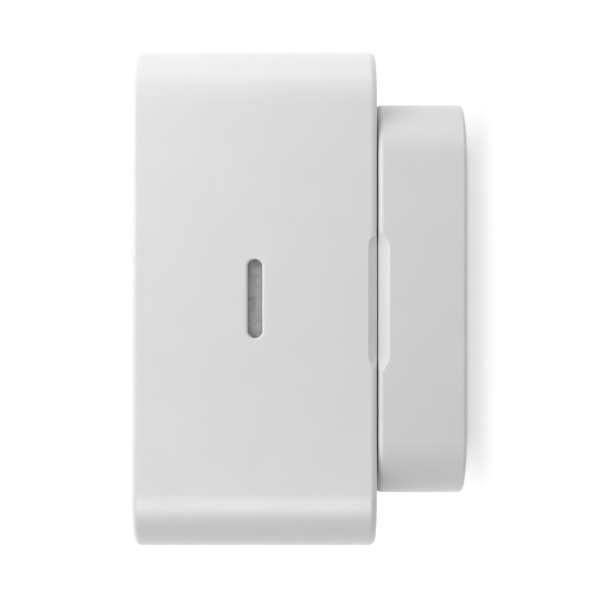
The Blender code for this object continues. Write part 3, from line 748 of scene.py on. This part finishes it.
def make_button():
    """The button's cap, dished towards its middle."""
    low, high = box_mm("button_cap")
    radius, dish, rings = 12.1, 0.4, 16
    profile = [
        (max(radius * i / rings, TIP), low.y + dish * (1 - (i / rings) ** 2.4)) for i in range(rings + 1)
    ]
    profile += arc((12.5, low.y + 0.5), 0.5, -90, 0, 6)
    profile += [(13.0, high.y), (11.8, high.y), (11.8, LEDGE_Y), (TIP, LEDGE_Y)]
    cap = turned("button_cap_visual", profile, BUTTON, steps=144)
    dress(cap, "bell_button", BUTTON_BLACK, "button_black", "button_cap")


def make_bell_mark():
    """A raised bell on the button: a dome, a rim and a clapper."""
    flank = [(2.6, -2.1), (2.25, -1.2), (2.1, 0.4), (1.75, 1.6), (1.0, 2.45), (0.45, 2.75)]
    knob = arc((0, 3.05), 0.5, -35, 215, 12)
    left = [(-x, z) for x, z in reversed(flank)]
    outline = flank + knob + left
    front, rear = -52.34, -51.9
    place = (BUTTON[0], 0, BUTTON[1])
    bell = solid("bell_mark", lambda grow: outline, [(0, front), (0, rear)], place)
    rim = slab("bell_rim", (6.2, 0.62), front, rear, (BUTTON[0], BUTTON[1] - 2.35), 0.3)
    swing = arc((0, -2.95), 0.95, 180, 360, 20)
    clapper = solid("clapper", lambda grow: swing, [(0, front), (0, rear)], place)
    join(bell, rim, clapper)
    look = moulded_plastic("mark_grey", (0.42, 0.42, 0.43), 0.4)
    dress(bell, "bell_button", look, "ring_diffuser")


MESH_X, MESH_EDGE = 28.4, 0.12


def make_meshes():
    for side, sign in SIDES:
        low, high = box_mm("sound_mesh_" + side)
        outline = rect_outline(high.y - low.y, high.z - low.z, 1.69)
        profile = [(-MESH_EDGE, sign * MESH_X), (0, sign * (MESH_X - MESH_EDGE)), (0, sign * (MESH_X - 0.4))]
        place = (0, (low.y + high.y) / 2, 0)
        mesh = solid(f"sound_mesh_{side}_visual", outline, profile, place, "X")
        dress(mesh, "housing", SOUND_MESH, "sound_mesh", "sound_mesh_" + side)


# ---------------------------------------------------------------- fastenings, contacts and rear


def recess_cutters(face, depth, place, length, width):
    """Two crossed blades for the recess of a cross-head screw."""
    near, far = face - depth, face + 1.0
    one = slab("blade", (length, width), near, far, place, 0.12, steps=4)
    two = slab("blade", (width, length), near, far, place, 0.12, steps=4)
    return [one, two]


def thread(crest, root, start, pitch, flank, turns):
    """The profile of a screw thread that runs forward from start."""
    profile = []
    for i in range(turns):
        y = start - pitch * i
        profile += [(crest, y), (root, y - flank)]
    return profile


def dome(flat, radius, height, top, first):
    """The profile of a rounded end: a quarter turn down from the edge of a flat middle."""
    turns = [math.radians(15 * i) for i in range(first, 7)]
    return [(flat + radius * math.sin(t), top - height * (1 - math.cos(t))) for t in turns]


def make_cover_screws():
    for number in range(1, len(CORNERS) + 1):
        node = f"cover_screw_{number}"
        place = centre(node)
        low, high = box_mm(node)
        profile = [(TIP, high.y), (1.3, high.y)] + dome(1.3, 0.8, 0.62, high.y, first=1)
        profile += [(2.1, high.y - 0.9), (1.1, high.y - 0.9)]
        profile += thread(crest=1.1, root=0.86, start=high.y - 1.3, pitch=0.44, flank=0.2, turns=22)
        profile += [(0.75, low.y + 0.5), (0.3, low.y), (TIP, low.y)]
        screw = turned(node + "_visual", profile, place, steps=40)
        cut(screw, *recess_cutters(high.y, 0.55, place, length=2.0, width=0.5))
        dress(screw, "housing", SCREW_STEEL, "screw_steel", node)


def make_terminal_block():
    low, high = box_mm("terminal_block")
    mid = (low + high) / 2
    size = (high.x - low.x, high.z - low.z)
    block = slab("terminal_block_visual", size, low.y, high.y, (mid.x, mid.z), 0.5, 0.3)
    entry = rect_outline(3.4, 2.4, 0.5)
    cutters = []
    for sign in (-1, 1):
        place = (mid.x + sign * TERMINAL[0], mid.z)
        cutters.append(bore("screw_bore", 1.5, -9.6, 0, place, 32))
        cutters.append(solid("wire_entry", entry, [(0, 5.0), (0, 10.5)], (place[0], -7.4, 0), "Z"))
        place = (mid.x + sign * 8.4, mid.z)
        cutters.append(slab("side_groove", (0.5, 12), low.y + 1.5, high.y + 1, place, 0.2))
    cutters.append(slab("split", (0.7, 12), high.y - 1.6, high.y + 1, (mid.x, mid.z), 0.2))
    cut(block, *cutters)
    dress(block, "base", BLACK_PLASTIC, "black_plastic", "terminal_block")


def make_terminal_screws():
    under_head = -4.4
    for side, _ in SIDES:
        node = "terminal_screw_" + side
        place = centre(node)
        low, high = box_mm(node)
        profile = [(TIP, high.y), (1.9, high.y), (2.2, high.y - 0.1), (2.4, high.y - 0.35)]
        profile += [(2.4, under_head), (1.2, under_head)]
        profile += thread(crest=1.2, root=1.0, start=under_head - 0.2, pitch=0.46, flank=0.22, turns=9)
        profile += [(0.9, low.y), (TIP, low.y)]
        screw = turned(node + "_visual", profile, place, steps=48)
        cut(screw, *recess_cutters(high.y, 0.7, place, length=3.2, width=0.6))
        dress(screw, "base", TERMINAL_BRASS, "terminal_brass", node)


def make_contacts():
    """The carrier of the spring pins with its flange, and the two pins."""
    low, high = box_mm("pogo_block")
    place = (0, PIN_Z)
    carrier = slab("pogo_block_visual", (12, 5), low.y, -10.5, place, 0.7, 0.25)
    join(carrier, slab("flange", (15, 8), -11.1, high.y, place, 0.8, 0.15))
    bores = []
    for sign in (-1, 1):
        bores.append(countersunk("pin_bore", 0.95, low.y, -11.9, (sign * PIN_X, PIN_Z), 0.25, 40))
    cut(carrier, *bores)
    dress(carrier, "base", BLACK_PLASTIC, "black_plastic", "pogo_block")
    plunger, barrel, waist = 0.45, 0.65, 0.55
    for side, _ in SIDES:
        node = "pogo_pin_" + side
        low, high = box_mm(node)
        profile = [(max(radius, TIP), y) for radius, y in dome(0, plunger, -0.35, low.y, first=0)]
        profile += [(plunger, -16.6), (0.58, -16.55), (barrel, -16.45), (barrel, -13.1), (waist, -13.0)]
        profile += [(waist, -12.8), (barrel, -12.7), (barrel, high.y), (TIP, high.y)]
        pin = turned(node + "_visual", profile, centre(node), steps=40)
        dress(pin, "pogo_pins", CONTACT_GOLD, "contact_gold", node)


def strip(name, path, across, width, thickness):
    """A flat strip swept along a path of points, its width along one direction."""
    shape = bmesh.new()
    loops = []
    for i, point in enumerate(path):
        tangent = (path[min(i + 1, len(path) - 1)] - path[max(i - 1, 0)]).normalized()
        outward = tangent.cross(across).normalized()
        section = rounded_rect(thickness, width, min(thickness, width) * 0.35, 3)
        loops.append([shape.verts.new((point + outward * u + across * v) * MM) for u, v in section])
    shape.faces.new(loops[0])
    shape.faces.new(loops[-1])
    for one, two in zip(loops, loops[1:]):
        for i in range(len(one)):
            j = (i + 1) % len(one)
            shape.faces.new((one[i], two[i], two[j], one[j]))
    bmesh.ops.recalc_face_normals(shape, faces=shape.faces)
    return new_object(name, shape)


def make_springs():
    """The bowed springs at the sides of the boss, which hold the housing."""
    foot, bow, half, count = 19.0, 2.95, 10.8, 40
    y = middle("retaining_spring_left").y
    heights = [half * (2 * i / count - 1) for i in range(count + 1)]
    for side, sign in SIDES:
        path = [Vector((sign * (foot + bow * (1 - (z / half) ** 2)), y, z)) for z in heights]
        name = f"retaining_spring_{side}_visual"
        spring = strip(name, path, Vector((0, 1, 0)), width=1.2, thickness=0.4)
        dress(spring, "base", SPRING_STEEL, "spring_steel", "retaining_spring_" + side)


def merge(obj, other):
    """Add another object's mesh to an object's own, as it is, and remove the other."""
    shape = bmesh.new()
    shape.from_mesh(obj.data)
    shape.from_mesh(other.data)
    shape.to_mesh(obj.data)
    shape.free()
    bpy.data.objects.remove(other)


def make_port():
    """The charging port's shell, its tongue and the contacts on both faces of the tongue."""
    low, high = box_mm("usb_port")
    outline = rect_outline(high.x - low.x, high.z - low.z, 1.35)
    wall = 0.34
    profile = [(-0.1, low.y), (0, low.y + 0.1), (0, high.y - 0.1), (-0.1, high.y), (-0.22, high.y)]
    profile += [(-wall, high.y - 0.15), (-wall, low.y + 1.7)]
    port = solid("usb_port_visual", outline, profile, (PORT[0], 0, PORT[1]))
    dress(port, "housing", TIN_CAN, "tin_can", "usb_port")
    tongue = slab("usb_tongue", (6.6, 0.7), low.y + 1.6, high.y - 0.6, PORT, 0.15, 0.1)
    dress(tongue, "housing", BLACK_PLASTIC, "black_plastic")
    count, pitch, size, lift = 12, 0.48, (0.26, 0.1), 0.36
    bars = []
    for row in (-1, 1):
        for i in range(count):
            place = (PORT[0] + (i - (count - 1) / 2) * pitch, PORT[1] + row * lift)
            bars.append(slab("usb_contacts", size, low.y + 2.2, high.y - 1.3, place, 0.03, steps=2))
    for bar in bars[1:]:
        merge(bars[0], bar)
    dress(bars[0], "housing", CONTACT_GOLD, "contact_gold")


def make_flap():
    """The rubber flap over the port, with its plug, finger grips and the groove it bends at."""
    low, high = box_mm("usb_flap")
    mid = (low + high) / 2
    port = (PORT[0], 0, PORT[1])
    size = (high.x - low.x, high.z - low.z)
    plate = slab("usb_flap_visual", size, -15.3, high.y, (mid.x, mid.z), 0.9, 0.25)
    plug = solid("plug", rect_outline(7.6, 1.8, 0.88), [(-0.15, low.y), (0, low.y + 0.15), (0, -15.2)], port)
    join(plate, plug)
    well = solid("plug_well", rect_outline(6.4, 0.7, 0.34), [(0, low.y - 1), (0, low.y + 0.5)], port)
    grips = []
    for i in range(3):
        place = (0, mid.z + 0.9 + 0.55 * i)
        grips.append(slab("grip", (5.0, 0.22), high.y - 0.14, high.y + 1, place, 0.1, steps=4))
    hinge = slab("hinge_line", (10.6, 0.3), high.y - 0.3, high.y + 1, (0, low.z + 0.95), 0.14, steps=4)
    cut(plate, well, hinge, *grips)
    dress(plate, "usb_flap", FLAP_RUBBER, "flap_rubber", "usb_flap")


def make_reset_button():
    """The reset button. Its collar stops just short of the power board's edge when it's pressed."""
    low, high = box_mm("reset_button")
    collar, stem, clearance = 2.1, 1.3, 0.06
    profile = [(TIP, low.y + clearance), (collar, low.y + clearance), (collar, low.y + 0.7)]
    profile += [(stem, low.y + 0.7), (stem, high.y - 0.2)]
    profile += [(1.1, high.y), (0.8, high.y), (TIP, high.y - 0.18)]
    button = turned("reset_button_visual", profile, RESET, steps=48)
    dress(button, "reset_button", RESET_GREY, "reset_grey", "reset_button")


# ---------------------------------------------------------------- inside

CARRIED = {
    "sound_duct": BLACK_PLASTIC,
    "battery_tray": BLACK_PLASTIC,
    "battery_cell": CELL_WRAP,
    "power_board": CIRCUIT_BOARD,
    "camera_board": CIRCUIT_BOARD,
    "sensor_board": CIRCUIT_BOARD,
    "main_board": CIRCUIT_BOARD,
    "ring_board": CIRCUIT_BOARD,
    "reset_switch": CHIP_BLACK,
    "button_switch": CHIP_BLACK,
    "processor": CHIP_BLACK,
    "image_sensor": CHIP_BLACK,
    "light_sensor": LED_CLEAR,
    "ir_led_left": LED_CLEAR,
    "ir_led_right": LED_CLEAR,
    "microphone": TIN_CAN,
    "pir_sensor": TIN_CAN,
    "rf_shield": TIN_CAN,
    "wifi_antenna": FLEX_FILM,
    "camera_flex": FLEX_FILM,
    "speaker_frame": SPEAKER_STEEL,
    "speaker_magnet": MAGNET_NICKEL,
    "speaker_cone": CONE_FILM,
    "lens_holder": BLACK_PLASTIC,
    "ir_cut_filter": FILTER_GLASS,
    "button_stem": BLACK_PLASTIC,
    "button_seal": SILICONE,
    "cover_seal": SILICONE,
    "contact_pad_left": CONTACT_GOLD,
    "contact_pad_right": CONTACT_GOLD,
}


def paint_carried():
    """Give the CAD pieces that are shown as they are their materials."""
    for node, look in CARRIED.items():
        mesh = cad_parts[node].data
        mesh.materials.clear()
        mesh.materials.append(look)


# ---------------------------------------------------------------- stage, light and camera

CAMERA_DISTANCE, CAMERA_LENS, SENSOR = 268.0, 90.84, 36.0
CAMERA_SHIFT = 0.2
BACKDROP = 1.05
FLOOR_RADIUS, FLOOR_CLEAR, FLOOR_DROP = 950, 150, 250
# How far the card behind the base reaches and where it starts to fade, across and up.
WALL_REACH, WALL_FADE = (110.0, 31.5), (75.0, 20.0)
WALL_Y = 0.1
WORLD = {"level": 0.88, "side": 0.5, "front": 0.2, "rise": -0.04}
# Each light's place, the point it's turned to, its size and its power.
LIGHTS = {
    "wall_softbox": ((-200, -430, 30), (0, -30, 0), (220, 220), 0.68),
    "key_softbox": ((135, -150, 60), (0, -30, 0), (130, 130), 0.147),
    "front_card": ((120, -420, 0), (0, -30, 0), (260, 300), 0.2),
    "top_card": ((170, 5, 255), (20, -20, 30), (130, 200), 0.125),
    "low_card": ((220, -40, -145), (30, -34, -32), (170, 135), 0.6),
}


def fade_out(look, opacity, distance, start, end):
    """Multiply an opacity by a fade from shown at start to clear at end, both in millimetres."""
    smooth = {"interpolation_type": "SMOOTHSTEP"}
    fade = add_node(look, "MapRange", smooth, From_Min=start * MM, From_Max=end * MM, To_Min=1.0, To_Max=0.0)
    link(look, distance, fade.inputs["Value"])
    return product(look, opacity, fade.outputs["Result"]) if opacity else fade.outputs["Result"]


def put_on_stage(obj, look):
    """The object is seen by the camera only, so that it doesn't light or shade the doorbell."""
    obj.data.materials.append(look)
    obj.visible_shadow = False
    obj.visible_diffuse = False
    obj.visible_glossy = False


def make_wall():
    """A white card behind the base, which catches its soft shadow and fades out at its edges.

    It's clear from behind.
    """
    across, up = WALL_REACH
    shape = bmesh.new()
    corners = [(-across, -up), (across, -up), (across, up), (-across, up)]
    shape.faces.new([shape.verts.new(Vector((x, WALL_Y, z)) * MM) for x, z in corners])
    look = new_look("wall_paint", (0.97, 0.97, 0.97), 0.9, Specular_IOR_Level=0.0)
    coordinates = add_node(look, "TexCoord")
    split = add_node(look, "SeparateXYZ")
    link(look, coordinates.outputs["Object"], split.inputs["Vector"])
    shown = add_node(look, "Math", {"operation": "SUBTRACT"})
    shown.inputs[0].default_value = 1.0
    link(look, add_node(look, "NewGeometry").outputs["Backfacing"], shown.inputs[1])
    opacity = shown.outputs["Value"]
    for output, start, end in zip("XZ", WALL_FADE, WALL_REACH):
        size = add_node(look, "Math", {"operation": "ABSOLUTE"})
        link(look, split.outputs[output], size.inputs[0])
        opacity = fade_out(look, opacity, size.outputs["Value"], start, end)
    link(look, opacity, shader_of(look).inputs["Alpha"])
    put_on_stage(new_object("wall", shape), look)


def make_floor():
    """A pale round floor well below the doorbell, which fades out at its rim."""
    shape = bmesh.new()
    bmesh.ops.create_circle(shape, cap_ends=True, segments=96, radius=FLOOR_RADIUS * MM)
    floor = new_object("floor", shape)
    floor.location.z = -FLOOR_DROP * MM
    look = new_look("floor_paint", (0.9, 0.9, 0.9), 0.8)
    coordinates = add_node(look, "TexCoord")
    distance = add_node(look, "VectorMath", {"operation": "LENGTH"})
    link(look, coordinates.outputs["Object"], distance.inputs[0])
    opacity = fade_out(look, None, distance.outputs["Value"], FLOOR_CLEAR, FLOOR_RADIUS)
    link(look, opacity, shader_of(look).inputs["Alpha"])
    put_on_stage(floor, look)


def make_world(level, side, front, rise):
    """White surroundings whose strength slopes with the direction looked in.

    The camera sees an even white.
    """
    world = bpy.data.worlds.new("studio")
    bpy.context.scene.world = world
    world.use_nodes = True
    tree = world.node_tree
    coordinates = tree.nodes.new("ShaderNodeTexCoord")
    slope = tree.nodes.new("ShaderNodeVectorMath")
    slope.operation = "DOT_PRODUCT"
    slope.inputs[1].default_value = (-side * level, -front * level, rise * level)
    total = tree.nodes.new("ShaderNodeMath")
    total.operation = "ADD"
    total.inputs[1].default_value = level
    background = tree.nodes["Background"]
    background.inputs["Color"].default_value = (1, 1, 1, 1)
    tree.links.new(coordinates.outputs["Generated"], slope.inputs[0])
    tree.links.new(slope.outputs["Value"], total.inputs[0])
    paths = tree.nodes.new("ShaderNodeLightPath")
    seen = tree.nodes.new("ShaderNodeMix")
    seen.inputs["B"].default_value = BACKDROP
    tree.links.new(paths.outputs["Is Camera Ray"], seen.inputs["Factor"])
    tree.links.new(total.outputs["Value"], seen.inputs["A"])
    tree.links.new(seen.outputs["Result"], background.inputs["Strength"])


def make_light(name, place, aim, size, power):
    data = bpy.data.lights.new(name, "AREA")
    data.shape = "RECTANGLE"
    data.size, data.size_y = size[0] * MM, size[1] * MM
    data.energy = power
    light = bpy.data.objects.new(name, data)
    bpy.context.scene.collection.objects.link(light)
    light.location = Vector(place) * MM
    direction = Vector(aim) - Vector(place)
    light.rotation_euler = direction.to_track_quat("-Z", "Y").to_euler()
    return light


def light_only(lights, obj, state="INCLUDE"):
    """These lights fall on one object only, or on everything but that object."""
    receivers = bpy.data.collections.new("lit_" + obj.name)
    receivers.objects.link(obj)
    receivers.collection_objects[0].light_linking.link_state = state
    for light in lights:
        light.light_linking.receiver_collection = receivers


def make_camera():
    data = bpy.data.cameras.new("camera")
    data.lens = CAMERA_LENS
    data.sensor_width = SENSOR
    data.clip_start, data.clip_end = 0.01, 20
    camera = bpy.data.objects.new("camera", data)
    bpy.context.scene.collection.objects.link(camera)
    low, high = cad_bounds
    aim = (low + high) / 2
    camera.location = (CAMERA_DISTANCE * MM, aim.y + CAMERA_SHIFT * MM, aim.z - CAMERA_SHIFT * MM)
    camera.rotation_euler = (math.radians(90), 0, math.radians(90))
    bpy.context.scene.camera = camera


def make_lighting():
    """The surroundings and the lights.

    The wall has a light of its own, and the low card lifts the housing's underside only.
    """
    make_world(**WORLD)
    lights = {name: make_light(name, *values) for name, values in LIGHTS.items()}
    wall = bpy.data.objects["wall"]
    light_only([lights["wall_softbox"]], wall)
    light_only([lights["key_softbox"], lights["top_card"], lights["front_card"]], wall, "EXCLUDE")
    light_only([lights["low_card"]], bpy.data.objects["front_shell_visual"])
    lights["low_card"].visible_diffuse = False
    bpy.context.scene.view_settings.view_transform = "Standard"


make_shell()
make_cover()
make_base()
make_gasket()
make_fascia()
make_motion_window()
make_bezel()
make_window()
make_barrel()
make_lens()
make_light_ring()
make_button()
make_bell_mark()
make_meshes()
make_cover_screws()
make_terminal_block()
make_terminal_screws()
make_contacts()
make_springs()
make_port()
make_flap()
make_reset_button()
paint_carried()
make_wall()
make_floor()
make_camera()
make_lighting()
